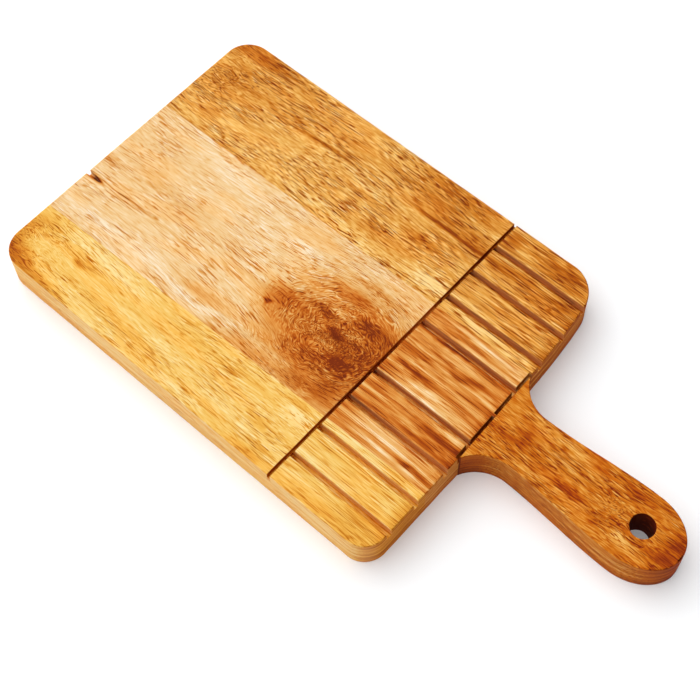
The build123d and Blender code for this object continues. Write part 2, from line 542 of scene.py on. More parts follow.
def groove_places(s):
    """Y of each long groove. None runs down the middle."""
    places = []
    for number in range(1, math.floor(s.half_width / s.groove_pitch) + 1):
        drift = s.groove_drift if number <= DRIFTED_GROOVES else 0.0
        places.append(s.groove_shift - number * s.groove_pitch + drift)
        places.append(s.groove_shift + number * s.groove_pitch)
    return sorted(places)


def check_cutter(s):
    """A wandering wedge that opens the drying check in the far end."""
    low = (s.far_x - CHECK_SPARE, -1, s.thickness - s.check_depth)
    high = (s.far_x + s.check_length, 1, s.thickness + CHECK_SPARE)
    wedge = block("check_cutter", low, high)
    edit(wedge)
    slice_evenly(0, low[0], high[0], (high[0] - low[0]) / CHECK_STEPS)
    for number in range(CHECK_STEPS + 1):
        share = number / CHECK_STEPS
        x = low[0] + (high[0] - low[0]) * share
        half = s.check_mouth / 2 * (1 - share**CHECK_TAPER) + CHECK_LEAST_HALF
        sway = CHECK_SWAY * math.sin(CHECK_SWING * share)
        rise = CHECK_RISE * s.check_depth * share**2
        for side in (-1, 1):
            pick(wedge, "verts", lambda v, x=x, side=side: near(v.co.x, x) and near(v.co.y, side))
            bpy.ops.transform.translate(value=(0, s.check_y + side * half + sway - side, 0))
        pick(wedge, "verts", lambda v, x=x: near(v.co.x, x) and near(v.co.z, low[2]))
        bpy.ops.transform.translate(value=(0, 0, rise))
    done()
    return wedge


def blank_outline(s):
    """The glued-up board with its shaped shoulder end and rounded corners."""
    inset = s.hand_work / 2
    far_x = s.far_x + inset
    shoulder_x = s.shoulder_x - inset
    side_y = s.half_width - inset
    board = block("board_blank", (far_x, -side_y, 0), (shoulder_x, side_y, s.thickness))
    left, right = joint_ends(s)
    span = side_y - right.y
    columns = [right.y + span * share for share in BOW_SHARES]
    edit(board)
    bisect((0, left.y, 0), (0, 1, 0))
    for y in columns:
        bisect((0, y, 0), (0, 1, 0))
    for y in [*columns, side_y]:
        share = (y - right.y) / span
        bow = 4 * s.shoulder_bow * share * (1 - share)
        fall = s.root_skew + (s.right_drop - s.root_skew) * share - bow
        pick(board, "verts", lambda v, y=y: near(v.co.x, shoulder_x) and near(v.co.y, y))
        bpy.ops.transform.translate(value=(-fall, 0, 0))
    for x, y, radius in (
        (far_x, -side_y, s.far_corner),
        (far_x, side_y, s.far_corner),
        (shoulder_x - s.right_drop, side_y, s.right_corner),
        (shoulder_x, -side_y, s.left_corner),
    ):
        pick(
            board,
            "edges",
            lambda e, x=x, y=y: all(near(v.co.x, x) and near(v.co.y, y) for v in e.verts),
        )
        bpy.ops.mesh.bevel(offset=radius, segments=CORNER_SEGMENTS, affect="EDGES")

    def meets_handle(face):
        middle = face.calc_center_median()
        return face.normal.x > 0.9 and left.y < middle.y < right.y and middle.x > right.x - MM

    soften_rims(board, s.soft_edge, meets_handle)
    slice_evenly(0, far_x, shoulder_x, BODY_SLICE)
    slice_evenly(1, -side_y, side_y, SIDE_SLICE)
    slice_evenly(2, 0, s.thickness, SIDE_SLICE)
    done()
    return board


def cut_board(s, board):
    """Saws the kerfs, the drying check and the grooves."""
    kerf_x = s.far_x + s.kerf_from_far
    across = 2 * s.half_width + SIDE_ROOM
    cross = kerf_cutter(
        "cross_kerf", (kerf_x, 0), math.pi / 2, across, s.kerf_width, s.kerf_depth, s.thickness
    )
    cut_away(board, cross)
    cut_away(board, check_cutter(s))
    for y in groove_places(s):
        cut_away(board, groove_cutter(s, y))
    left, right = joint_ends(s)
    along = (right - left).normalized()
    out = Vector((along.y, -along.x))
    run = ((right - left).length - s.root_kerf_web) / 2 + ROOT_KERF_OVERRUN
    for side in (-1, 1):
        middle = (left + right) / 2 + along * side * (s.root_kerf_web + run) / 2
        middle = middle + out * (ROOT_KERF_OPEN - s.kerf_width) / 2
        cut_away(
            board,
            kerf_cutter(
                "root_kerf", middle, math.atan2(along.y, along.x), run,
                s.kerf_width + ROOT_KERF_OPEN, s.root_kerf_depth, s.thickness,
            ),
        )


def part_staves(s, board):
    """Parts the board along its two glue lines into the three staves."""
    lean = Vector((s.shoulder_x - s.far_x, s.left_glue_near_y - s.left_glue_far_y, 0)).normalized()
    left_place = (s.far_x, s.left_glue_far_y, 0)
    left_normal = (-lean.y, lean.x, 0)
    right_place = (0, s.right_glue_y, 0)
    right_normal = (0, 1, 0)
    staves = []
    for name, cuts in (
        ("wood_left_stave", [(left_place, left_normal, "outer")]),
        (
            "wood_centre_stave",
            [(left_place, left_normal, "inner"), (right_place, right_normal, "outer")],
        ),
        ("wood_right_stave", [(right_place, right_normal, "inner")]),
    ):
        stave = board.copy()
        stave.data = board.data.copy()
        bpy.context.scene.collection.objects.link(stave)
        stave.name = name
        stave.data.name = name
        edit(stave)
        for place, direction, cleared in cuts:
            outer = cleared == "outer"
            bisect(place, direction, use_fill=True, clear_outer=outer, clear_inner=not outer)
        done()
        finish_mesh(stave)
        staves.append(stave)
    bpy.data.objects.remove(board, do_unlink=True)
    return staves


class BOARD_OT_staves(bpy.types.Operator):
    """Models the board, saws its grooves and parts it into three staves"""

    bl_idname = "board.staves"
    bl_label = "Staves"

    def execute(self, context):
        s = context.scene.board_sizes
        board = blank_outline(s)
        cut_board(s, board)
        waver(board, "X", s.hand_work, WAVER_ALONG)
        waver(board, "Y", s.hand_work, WAVER_ACROSS)
        left, centre, right = part_staves(s, board)
        left_y, right_y = s.left_glue_near_y, s.right_glue_y
        for stave, node, slot, material, low, high in (
            (left, "left_stave", "yellow_stave", left_stave_wood, -s.half_width, left_y),
            (centre, "centre_stave", "pale_stave", centre_stave_wood, left_y, right_y),
            (right, "right_stave", "amber_stave", right_stave_wood, right_y, s.half_width),
        ):
            grooves = [y / MM for y in groove_places(s) if low < y < high]
            stave.data.materials.clear()
            stave.data.materials.append(material(context.scene.board_colours, grooves))
            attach(stave, "root")
            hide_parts(node)
        return {"FINISHED"}


def handle_side(s, root, side):
    """Points down one side of the handle, from the butt joint to the tip. side is 1 or -1."""
    rise = side * (root.y - s.handle_y) - s.neck_half_width
    reach = math.sqrt(2 * s.root_radius * rise - rise**2)
    neck_x = root.x + reach
    swell_x = s.tip_x - s.tip_length
    tip_length = s.tip_length - TIP_TRIM
    points = []
    for number in range(ROOT_STEPS + 1):
        along = reach * number / ROOT_STEPS
        half = s.neck_half_width + s.root_radius - math.sqrt(s.root_radius**2 - (reach - along) ** 2)
        points.append((root.x + along, half))
    for number in range(1, FLANK_STEPS + 1):
        share = number / FLANK_STEPS
        ease = share * share * (3 - 2 * share)
        half = s.neck_half_width + (s.swell_half_width - s.neck_half_width) * ease
        points.append((neck_x + (swell_x - neck_x) * share, half))
    for number in range(1, TIP_STEPS + 1):
        turn = math.radians(TIP_STEP_TURN * number)
        points.append((swell_x + tip_length * math.sin(turn), s.swell_half_width * math.cos(turn)))
    return [(x, s.handle_y + side * half) for x, half in points]


def handle_body(s):
    """The handle: a sliced bar whose slices are drawn to the two sides' points."""
    left_root, right_root = joint_ends(s)
    left = handle_side(s, left_root, -1)
    right = handle_side(s, right_root, 1)
    spread = 0.5
    slice_length = 2 * MM
    steps = len(left) - 1
    handle = block("wood_handle", (0, -spread, 0), (steps * slice_length, spread, s.thickness))
    edit(handle)
    slice_evenly(0, 0, steps * slice_length, slice_length)
    for number, points in enumerate(zip(left, right)):
        raw_x = number * slice_length
        for side, (x, y) in zip((-1, 1), points):
            raw_y = side * spread
            pick(handle, "verts", lambda v, a=raw_x, b=raw_y: near(v.co.x, a) and near(v.co.y, b))
            bpy.ops.transform.translate(value=(x - raw_x, y - raw_y, 0))
    soften_rims(handle, s.soft_edge, lambda face: face.normal.x < -0.9)
    done()
    return handle


def bore_hanging_hole(s, handle):
    """Bores the hanging hole and rounds its rims."""
    x = s.tip_x - s.hole_from_tip
    y = s.handle_y + s.hole_shift
    deselect_all()
    bpy.ops.mesh.primitive_cylinder_add(
        vertices=HOLE_SIDES, radius=s.hole_radius, depth=2 * s.thickness, location=(x, y, s.thickness / 2)
    )
    cut_away(handle, settle(bpy.context.object, "hole_cutter"))
    edit(handle)
    pick(
        handle,
        "edges",
        lambda e: all(
            near(math.hypot(v.co.x - x, v.co.y - y), s.hole_radius)
            and (near(v.co.z, 0) or near(v.co.z, s.thickness))
            for v in e.verts
        ),
    )
    bpy.ops.mesh.bevel(offset=s.hole_rim, segments=RIM_SEGMENTS, affect="EDGES")
    slice_evenly(0, s.shoulder_x, s.tip_x, BODY_SLICE)
    slice_evenly(1, s.handle_y - s.swell_half_width, s.handle_y + s.swell_half_width, SIDE_SLICE)
    slice_evenly(2, 0, s.thickness, SIDE_SLICE)
    done()


class BOARD_OT_handle(bpy.types.Operator):
    """Models the paddle handle with its hanging hole"""

    bl_idname = "board.handle"
    bl_label = "Handle"

    def execute(self, context):
        s = context.scene.board_sizes
        handle = handle_body(s)
        bore_hanging_hole(s, handle)
        waver(handle, "X", s.hand_work, WAVER_ALONG)
        waver(handle, "Y", s.hand_work, WAVER_ACROSS)
        finish_mesh(handle)
        handle.data.materials.append(handle_wood(context.scene.board_colours))
        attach(handle, "root")
        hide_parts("handle")
        return {"FINISHED"}


class BOARD_OT_dowels(bpy.types.Operator):
    """Gives the hidden dowels their bare wood"""

    bl_idname = "board.dowels"
    bl_label = "Dowels"

    def execute(self, context):
        dowels = frame["nodes"]["handle_dowels"]
        dowels.data.materials.clear()
        dowels.data.materials.append(dowel_wood(context.scene.board_colours))
        return {"FINISHED"}


class Wire:
    """A socket of a material's nodes. Arithmetic on it adds Math nodes."""

    def __init__(self, tree, socket):
        self.tree = tree
        self.socket = socket

    def make(self, kind, settings=None, output=0, **inputs):
        """Adds a node to the same tree and returns one of its outputs."""
        return make(self.tree, kind, settings, output, **inputs)

    def maths(self, operation, a, b=0.0):
        """The result of a Math node."""
        return self.make("ShaderNodeMath", {"operation": operation}, i0=a, i1=b)

    def __add__(self, other):
        return self.maths("ADD", self, other)

    def __radd__(self, other):
        return self.maths("ADD", other, self)

    def __sub__(self, other):
        return self.maths("SUBTRACT", self, other)

    def __rsub__(self, other):
        return self.maths("SUBTRACT", other, self)

    def __mul__(self, other):
        return self.maths("MULTIPLY", self, other)

    def __rmul__(self, other):
        return self.maths("MULTIPLY", other, self)

    def __truediv__(self, other):
        return self.maths("DIVIDE", self, other)

    def __rtruediv__(self, other):
        return self.maths("DIVIDE", other, self)

    def __abs__(self):
        return self.maths("ABSOLUTE", self)

    def most(self, other):
        """The greater of two wires."""
        return self.maths("MAXIMUM", self, other)


def make(tree, kind, settings=None, output=0, **inputs):
    """Adds a node to a tree, sets it up, feeds its sockets and returns one of its outputs.

    settings are set first. Of the inputs, i0 is the first socket, and other names are names.
    """
    node = tree.nodes.new(kind)
    for name, value in (settings or {}).items():
        if name == "stops":
            ramp = node.color_ramp
            while len(ramp.elements) < len(value):
                ramp.elements.new(1.0)
            for stop, (place, shade) in zip(ramp.elements, value):
                stop.position = place
                stop.color = (*shade, 1.0)
        else:
            setattr(node, name, value)
    for name, value in inputs.items():
        if name[0] == "i" and name[1:].isdigit():
            socket = node.inputs[int(name[1:])]
        else:
            socket = node.inputs[name.replace("_", " ")]
        if isinstance(value, Wire):
            tree.links.new(value.socket, socket)
        else:
            socket.default_value = value
    return Wire(tree, node.outputs[output])


def scaled(vector, factors):
    """A vector wire times three numbers."""
    return vector.make("ShaderNodeVectorMath", {"operation": "MULTIPLY"}, i0=vector, i1=factors)


def shifted(vector, offset):
    """A vector wire plus a vector."""
    return vector.make("ShaderNodeVectorMath", {"operation": "ADD"}, i0=vector, i1=offset)


def parts(vector):
    """The X, Y and Z wires of a vector wire."""
    return [vector.make("ShaderNodeSeparateXYZ", None, axis, Vector=vector) for axis in ("X", "Y", "Z")]


def joined(x, y, z):
    """A vector wire from three values."""
    return x.make("ShaderNodeCombineXYZ", None, "Vector", X=x, Y=y, Z=z)


def remap(value, low, high, to_low=0.0, to_high=1.0):
    """Stretches a range of values smoothly onto another, and stops at its ends."""
    return value.make(
        "ShaderNodeMapRange",
        {"interpolation_type": "SMOOTHSTEP", "clamp": True},
        Value=value,
        From_Min=low,
        From_Max=high,
        To_Min=to_low,
        To_Max=to_high,
    )


def noise(vector, grain, output=0):
    """Soft noise from 0 to 1. grain is how far its blots reach along X, Y and Z, in mm."""
    return vector.make(
        "ShaderNodeTexNoise",
        {"noise_dimensions": "3D"},
        output,
        Vector=scaled(vector, tuple(1 / side for side in grain)),
        Scale=1.0,
        Detail=0.0,
    )


def swing(vector, grain, amount):
    """Noise about 0, by up to half of amount either way."""
    return (noise(vector, grain) - 0.5) * amount


def drifted(vector, grain, reach, where=None):
    """Coordinates pushed about in soft waves, mostly across the grain, by half of reach at most.

    where is a mask: they are pushed only there.
    """
    waves = noise(vector, grain, "Color")
    push = scaled(shifted(waves, (-0.5, -0.5, -0.5)), (DRIFT_ALONG * reach, reach, reach))
    if where:
        push = vector.make("ShaderNodeVectorMath", {"operation": "SCALE"}, i0=push, Scale=where)
    return shifted(vector, push)


def patch(place, centre, reach):
    """A soft-edged oval mask, 1 at its centre. Places and reaches are in millimetres."""
    offset = shifted(place, (-centre[0], -centre[1], 0.0))
    oval = scaled(offset, (1 / reach[0], 1 / reach[1], 0.0))
    distance = place.make("ShaderNodeVectorMath", {"operation": "LENGTH"}, "Value", i0=oval)
    return remap(distance, 1.0, 0.0)


def near_line(value, places, reach, soft=0.15):
    """A mask, 1 where a value is within reach of one of some places."""
    masks = [remap(abs(value - place), reach + soft, reach) for place in places]
    return functools.reduce(Wire.most, masks)


def brightness(shade):
    """How bright a screen colour looks, from 0 to 255."""
    return sum(weight * channel for weight, channel in zip(CHANNEL_WEIGHTS, shade))


def stops(shades):
    """Ramp stops for shades given dark to light, each placed by its own brightness."""
    span = BRIGHTEST - DARKEST
    return [((brightness(shade) - DARKEST) / span, linear(shade)) for shade in shades]


class Spot:
    """A point of a piece in mm, with u from the far end, how it faces and what that makes it.

    beyond is a mask of the grooved end. Another noise mask marks the places that hands have rubbed, and
    there the groove lips also get their painted highlight and shade.
    """

    def __init__(self, tree):
        place = make(tree, "ShaderNodeTexCoord", output="Object")
        self.mm = shifted(scaled(place, (1 / MM, 1 / MM, 1 / MM)), (-BOARD_LOW.x / MM, 0.0, 0.0))
        self.u, self.y, self.z = parts(self.mm)
        self.facing = parts(make(tree, "ShaderNodeNewGeometry", output="Normal"))
        self.depth = TOP_Z - self.z
        self.past_kerf = self.u - KERF_U
        self.past_joint = self.u - BOARD_END
        self.upright = remap(abs(self.facing[2]), *UPRIGHT_RANGE)
        self.endwise = remap(abs(self.facing[0]), *ENDWISE_RANGE) * self.upright
        self.beyond = remap(self.past_kerf, *PAST_KERF) * remap(self.depth, *SAWN_DEPTHS)
        self.wear_and_lip_light = remap(noise(self.mm, WEAR_GRAIN), *WORN_RANGE)


def grain_lines(mm, curly=None):
    """Coordinates that follow the grain: long sways, waves and a fine ruffle."""
    lines = drifted(drifted(mm, *LONG_SWAY), *SHORT_SWAY)
    if curly:
        lines = drifted(lines, *CURL, curly)
    return drifted(lines, *HAIR_SWAY)


def round_knot(mm, knot):
    """Coordinates that flow round a knot, others that run in rings in it, and its mask."""
    u, y, along, across = knot
    x_off, y_off, height = parts(shifted(mm, (-u, -y, 0.0)))
    flat = x_off / along
    tall = y_off / across
    square = flat * flat + tall * tall
    pull = KNOT_PULL / (square + KNOT_CORE)
    outside = joined(x_off + x_off * pull + u, y_off - y_off * pull + y, height)
    ring = square.maths("SQRT", square) * across
    turn = square.maths("ARCTAN2", tall, 0.0 - flat) * KNOT_TURN
    inside = joined(turn, ring, height)
    ragged = square + swing(mm, KNOT_RIM_GRAIN, KNOT_RIM_RAGGED)
    return outside, inside, remap(ragged, *KNOT_RANGE)


def fibres(lines, amounts):
    """Streaks and fibres, in levels of brightness about 0.

    amounts are the strengths from the finest fibre to the broadest streak.
    """
    streaks = [
        swing(lines, (along, across, across), amount)
        for amount, (along, across) in zip(amounts, FIBRE_GRAINS)
    ]
    return sum(streaks[1:], streaks[0])


def dashes(lines, along, across, offset):
    """A mask of short vessels that lie along the grain."""
    seen = noise(shifted(lines, (offset, offset, offset)), (along, across, across))
    return remap(seen, VESSEL_LEAST, VESSEL_LEAST + VESSEL_SOFT)


def veins(lines):
    """A mask of long hair-thin lines along the grain, broken here and there."""
    broken = remap(noise(lines, VEIN_BREAKS), *VEIN_RANGE)
    return remap(abs(noise(lines, VEIN_GRAIN) - 0.5), VEIN_HALF_WIDTH, 0.0) * broken


def grained(lines, amounts, pores):
    """Fibres, vessels and hair-thin lines along grain coordinates, in levels about 0."""
    level = fibres(lines, amounts)
    for along, across, offset, share in VESSELS:
        level = level + dashes(lines, along, across, offset) * pores * share
    return level + veins(lines) * pores * VEIN_SHARE


def straight_piece(spot, amounts, pores, curly):
    """The fine grain of a piece without a knot, and the coordinates of its patches."""
    ruffled = patch(spot.mm, curly[:2], curly[2:]) if curly else None
    lines = grain_lines(spot.mm, ruffled)
    return grained(lines, amounts, pores), lines


def knotted_piece(spot, amounts, pores, knot, knot_amounts):
    """The fine grain of a piece with a knot, and the coordinates of its patches."""
    outside, inside, ringed = round_knot(spot.mm, knot)
    ringed = ringed * (1.0 - spot.beyond)
    detail = grained(grain_lines(outside, ringed), amounts, pores)
    rings = scaled(drifted(drifted(inside, *RING_SWAY), *RING_RUFFLE), (RING_SHORTEN, 1.0, 1.0))
    detail = detail + (grained(rings, knot_amounts, pores) - detail) * ringed
    return detail, drifted(drifted(spot.mm, *BLOT_SWAY), *BLOT_RUFFLE)


def sawn_grain(spot, amounts, vessels, bands):
    """The straight drawn-out grain beyond the cross kerf, in levels about 0."""
    straight = drifted(spot.mm, *SAWN_SWAY)
    plain = grained(scaled(straight, (SAWN_STRETCH, 1.0, 1.0)), amounts, SAWN_PORES * vessels)
    return swing(straight, SAWN_BAND_GRAIN, bands) + plain


def patched(spot, level, place, patches):
    """Adds each patch's change, on its own side of the kerf and mostly on level faces."""
    near_side = (1.0 - spot.beyond) * (1.0 - spot.upright * PATCH_FADE)
    far_side = spot.beyond * (1.0 - spot.upright * PATCH_FADE)
    for centre_u, centre_y, along, across, change in patches:
        mask = patch(place, (centre_u, centre_y), (along, across))
        level = level + mask * (far_side if centre_u > KERF_U else near_side) * change
    return level


def on_upright(spot, level, tone, edge):
    """Turns to end grain on the ends, darker as end grain is and, on the shoulder ends that face away from
    the light, as painted shade, and adds level sheets and a painted shade along the foot of every side,
    near the floor.
    """
    layers = swing(spot.mm, *BROAD_LAYERS) + swing(spot.mm, *THIN_LAYERS)
    level = level + (tone - END_GRAIN_AND_SHADE + layers - level) * spot.endwise * END_SHARE
    low = remap(spot.z + noise(spot.mm, FOOT_GRAIN) * FOOT_RAGGED, *FOOT_HEIGHTS)
    level = level + spot.upright * (low * FOOT_SHADE + swing(spot.mm, *SHEETS))
    return level + (spot.upright - spot.endwise) * edge


def on_arris(spot, level, wear):
    """Makes the sanded upper edges paler where rubbed, and darker elsewhere: small chips, with painted
    shade that is strongest on the edges facing +X, away from the light.
    """
    along_x, _, upwards = spot.facing
    arris = remap(upwards, *ARRIS_RANGES[0]) * remap(upwards, *ARRIS_RANGES[1])
    paler = remap(along_x, *ARRIS_TURN, wear, END_WEAR * wear)
    darker = remap(along_x, *ARRIS_TURN, *CHIP_AND_SHADE_CHANGES)
    return level + arris * spot.wear_and_lip_light * paler - arris * (1.0 - spot.wear_and_lip_light) * darker


def cracked(spot, level, cracks):
    """Adds the drying check's dark lines, which don't reach far down."""
    shallow = remap(spot.depth, *CRACK_DEPTHS)
    gentle = drifted(spot.mm, *CRACK_SWAY)
    for centre_u, centre_y, along, across, change in cracks:
        mask = patch(gentle, (centre_u, centre_y), (along, across)) * shallow
        level = level + mask * change
    return level


def beside(spot, grooves, line):
    """A mask along one line of every groove."""
    offset, reach, soft = line
    return near_line(spot.y, [place + offset for place in grooves], reach, soft)


def grooved(spot, level, grooves):
    """Paints shade into the grooves' far walls, floor corners and starts, into the kerfs and along the
    near lips, paints a highlight along the far lips and a little light on the groove floors, and gives a
    mask of the wood in the cuts.
    """
    below = remap(spot.depth, *IN_CUT_DEPTHS) * remap(spot.depth, *OVER_FLOOR_DEPTHS)
    in_cuts = near_line(spot.y, grooves, GROOVE_REACH) * remap(spot.past_kerf, *FROM_KERF) * below
    wall = in_cuts * remap(spot.facing[1], *WALL_RANGE)
    speckled = swing(spot.mm, *GROOVE_SPECKS)
    level = level + (in_cuts - wall) * (speckled - GROOVE_SHADE) - wall * WALL_SHADE
    lips = beside(spot, grooves, FAR_LIP) * FAR_LIP_HIGHLIGHT - beside(spot, grooves, NEAR_LIP) * NEAR_LIP_SHADE
    on_top = remap(spot.facing[2], *LEVEL_RANGE) * spot.wear_and_lip_light * remap(spot.past_kerf, *LIP_START)
    level = level + lips * on_top
    pit_shade = near_line(spot.past_kerf, (PIT_PAST_KERF,), PIT_SOFT, PIT_SOFT)
    pit_shade = pit_shade * beside(spot, grooves, GROOVE_START)
    corner = beside(spot, grooves, FLOOR_CORNER) * remap(spot.depth, *CORNER_DEPTHS) * in_cuts
    kerf = near_line(spot.past_kerf, (0.0,), KERF_HALF) * below
    joint = near_line(spot.y, (JOINT_Y,), JOINT_HALF + KERF_HALF)
    joint = joint * remap(spot.past_joint, *FROM_JOINT_KERF) * below
    level = level - pit_shade * PIT_SHADE - corner * CORNER_SHADE - kerf.most(joint) * KERF_SHADE
    return level, in_cuts.most(kerf).most(joint)


def coloured(tree, shade, shades, warmth_and_bounce, warm_and_bounce_tint, ash_and_sheen_mask, ash_and_sheen):
    """The wood's colour: a ramp over its brightness, made warmer where masked, in the cuts as a painted
    warm bounce of light, and paler and greyer on the near sides, partly as a painted sheen.
    """
    tint = make(tree, "ShaderNodeValToRGB", {"stops": stops(shades)}, "Color", Fac=shade)
    tint = make(
        tree, "ShaderNodeMix", {"data_type": "RGBA", "blend_type": "MULTIPLY"}, "Result",
        i0=warmth_and_bounce, i6=tint, i7=(*warm_and_bounce_tint, 1.0),
    )
    return make(
        tree, "ShaderNodeMix", {"data_type": "RGBA"}, "Result", i0=ash_and_sheen_mask, i6=tint, i7=(*ash_and_sheen, 1.0)
    )


def wood(
    name, colours, shades, tone, patches=(), amounts=(90, 66, 46, 46, 60), vessels=30, curly=None,
    knot=None, knot_amounts=(), sawn=(0, 0, 0), grooves=(), edge=0, wear=10, bore=False, cracks=(),
    ash_and_sheen=None,
):
    """An oiled wood with streaks, fibres and vessels along X.

    shades run from dark to light, and tone is the brightness away from all patches. A patch
    is (u, y, reach along, reach across, change of brightness), with u from the far end, in mm.
    amounts are the strengths of the fibres, and vessels that of the short pores. curly is an
    oval (u, y, reach along, reach across) where the grain is ruffled. knot is such an oval too:
    the grain flows round it and runs in rings in it, with knot_amounts as its strengths. sawn
    is what changes beyond the cross kerf: the tone, the strength of straight bands, and the
    warmth. grooves are the Y of the grooves in this piece, whose cuts get painted light and shade
    and a painted warm bounce, and a piece without any has no sawn grain. edge changes the tone on
    the long sides, and wear on the sanded edges. bore says whether the hanging hole is in this
    piece, and paints shade inside it and on the butt face. cracks are thin patches that stay near
    the top. The last argument is the colour that the sides facing -Y turn towards: partly their
    paler side grain, partly a painted sheen.
    """
    material = bpy.data.materials.new(name)
    material.use_nodes = True
    tree = material.node_tree
    tree.nodes.clear()
    spot = Spot(tree)
    pores = remap(noise(spot.mm, PORE_FIELD), *PORE_RANGE, LEAST_PORES, 1.0) * vessels
    if knot:
        detail, place = knotted_piece(spot, amounts, pores, knot, knot_amounts)
    else:
        detail, place = straight_piece(spot, amounts, pores, curly)
    level = tone + detail
    sawn_tone, bands, sawn_warmth = sawn
    if grooves:
        change = sawn_grain(spot, amounts, vessels, bands) + sawn_tone - detail
        level = level + spot.beyond * change
    level = patched(spot, level, place, patches).most(LEAST_LEVEL)
    level = on_arris(spot, on_upright(spot, level, tone, edge), wear)
    if cracks:
        level = cracked(spot, level, cracks)
    # The warm tint: on the ends facing +X, in random blushes and beyond the kerf, and in the cuts as a
    # painted warm bounce of light
    blush = remap(noise(spot.mm, BLUSH_GRAIN), *BLUSH_RANGE, 0.0, BLUSH)
    warmth_and_bounce = (spot.endwise * remap(spot.facing[0], *HANDLE_END_RANGE)).most(blush)
    warmth_and_bounce = warmth_and_bounce.most(spot.beyond * sawn_warmth)
    # The sides facing -Y turn paler and greyer: partly side grain, partly a painted sheen
    ash_and_sheen_mask = spot.upright * remap(spot.facing[1], *NEAR_SIDE_RANGE, 0.0, ASH_AND_SHEEN_SHARE)
    if grooves:
        level, in_cuts = grooved(spot, level, grooves)
        # Painted warm bounce of light in the grooves and kerfs
        warmth_and_bounce = warmth_and_bounce.most(in_cuts)
    # Painted shade inside the hanging hole and on the handle's butt face, which the root kerf lays open;
    # the paler near-side colour stops at the hole
    if bore:
        bored = remap(patch(spot.mm, BORE_PLACE, (BORE_REACH, BORE_REACH)), *BORE_RANGE)
        butt = remap(spot.past_joint, *BUTT_FACE)
        ash_and_sheen_mask = ash_and_sheen_mask * (1.0 - bored)
        level = level - bored * spot.upright * BORE_SHADE - butt * spot.upright * BORE_SHADE

    shade = (level - DARKEST) / (BRIGHTEST - DARKEST)
    relief = detail / (2 * vessels)
    ash_and_sheen = ash_and_sheen or colours.stave_side
    shader = make(
        tree,
        "ShaderNodeBsdfPrincipled",
        None,
        "BSDF",
        Base_Color=coloured(tree, shade, shades, warmth_and_bounce, colours.sawn, ash_and_sheen_mask, ash_and_sheen),
        Roughness=remap(shade, 0.0, 1.0, *GLOSS_RANGE) + spot.upright * UPRIGHT_DULLER,
        Normal=make(tree, "ShaderNodeBump", None, "Normal", Strength=1.0, Distance=RELIEF, Height=relief),
        Specular_IOR_Level=SPECULAR,
    )
    output = tree.nodes.new("ShaderNodeOutputMaterial")
    tree.links.new(shader.socket, output.inputs["Surface"])
    return material


# Screen colours of the four woods, dark to light
AMBER = (
    (104, 44, 8),
    (140, 60, 10),
    (168, 82, 18),
    (193, 106, 31),
    (212, 133, 48),
    (228, 161, 73),
    (241, 187, 102),
    (248, 204, 125),
    (251, 217, 148),
)
PALE = (
    (100, 42, 8),
    (128, 54, 10),
    (160, 72, 18),
    (188, 96, 30),
    (211, 127, 52),
    (227, 161, 84),
    (238, 189, 122),
    (245, 209, 155),
    (250, 224, 186),
    (253, 236, 208),
)
YELLOW = (
    (100, 42, 8),
    (172, 80, 10),
    (208, 127, 38),
    (229, 158, 60),
    (240, 180, 80),
    (246, 196, 100),
    (250, 211, 127),
    (253, 226, 160),
)
ORANGE = (
    (100, 38, 6),
    (148, 58, 8),
    (182, 84, 12),
    (199, 104, 24),
    (212, 124, 38),
    (224, 147, 58),
    (236, 172, 83),
    (246, 196, 112),
)


def left_stave_wood(colours, grooves):
    """The yellow stave along the near side."""
    patches = (
        (4, -86, 24, 9, -80),
        (26, -90, 34, 6, -56),
        (2, -76, 9, 16, -40),
        (8, -65, 14, 10, -26),
        (38, -69, 6, 2.5, -50),
        (40, -67, 14, 5, -14),
        (56, -60, 52, 8, 20),
        (90, -64, 50, 8, 4),
        (120, -87, 30, 4, 28),
        (170, -87, 16, 4, -24),
        (174, -82, 14, 2, -34),
        (176, -61, 18, 6, 34),
        (163, -73, 12, 4, -22),
        (230, -76, 20, 8, -30),
        (215, -53, 40, 3.5, 16),
        (245, -70, 8, 30, -40),
        (172, -56, 12, 3, -26),
        (196, -58, 16, 5, 44),
        (222, -58, 20, 4, 16),
        (235, -80, 34, 9, -18),
        (220, -88, 50, 5, -18),
    )
    return wood(
        "yellow_stave_wood", colours, YELLOW, 204, patches, (30, 11, 9, 18, 28), 54,
        curly=(8, -72, 40, 26), sawn=(2, 24, 0), grooves=grooves, edge=12,
    )


